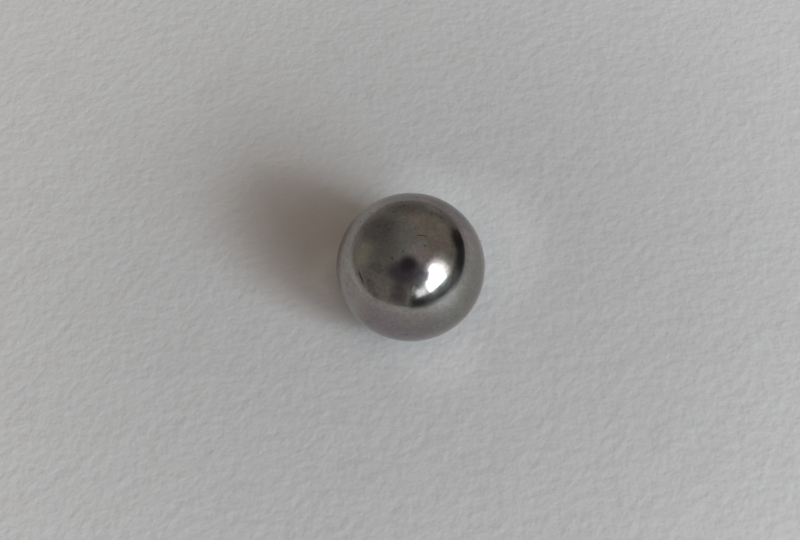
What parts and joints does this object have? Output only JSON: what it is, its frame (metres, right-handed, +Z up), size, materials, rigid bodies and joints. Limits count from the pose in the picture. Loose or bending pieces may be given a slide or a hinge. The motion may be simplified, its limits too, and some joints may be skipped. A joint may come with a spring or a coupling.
{
  "type": "steel ball",
  "caption": "Solid polished steel ball, a plain sphere that rolls freely and seats in a cup, socket, spring detent or bearing race.",
  "frame": {"origin": "centre of the ball", "axes": "+Z points up, away from what the ball sits on; the ball is round on every axis"},
  "size_m": [0.0126, 0.0126, 0.0126],
  "materials": {
    "steel": "polished all over, slightly dulled by handling, with a few tiny pits and hairline scuffs"
  },
  "bodies": {
    "root": {"ball": "steel"}
  },
  "joints": []
}
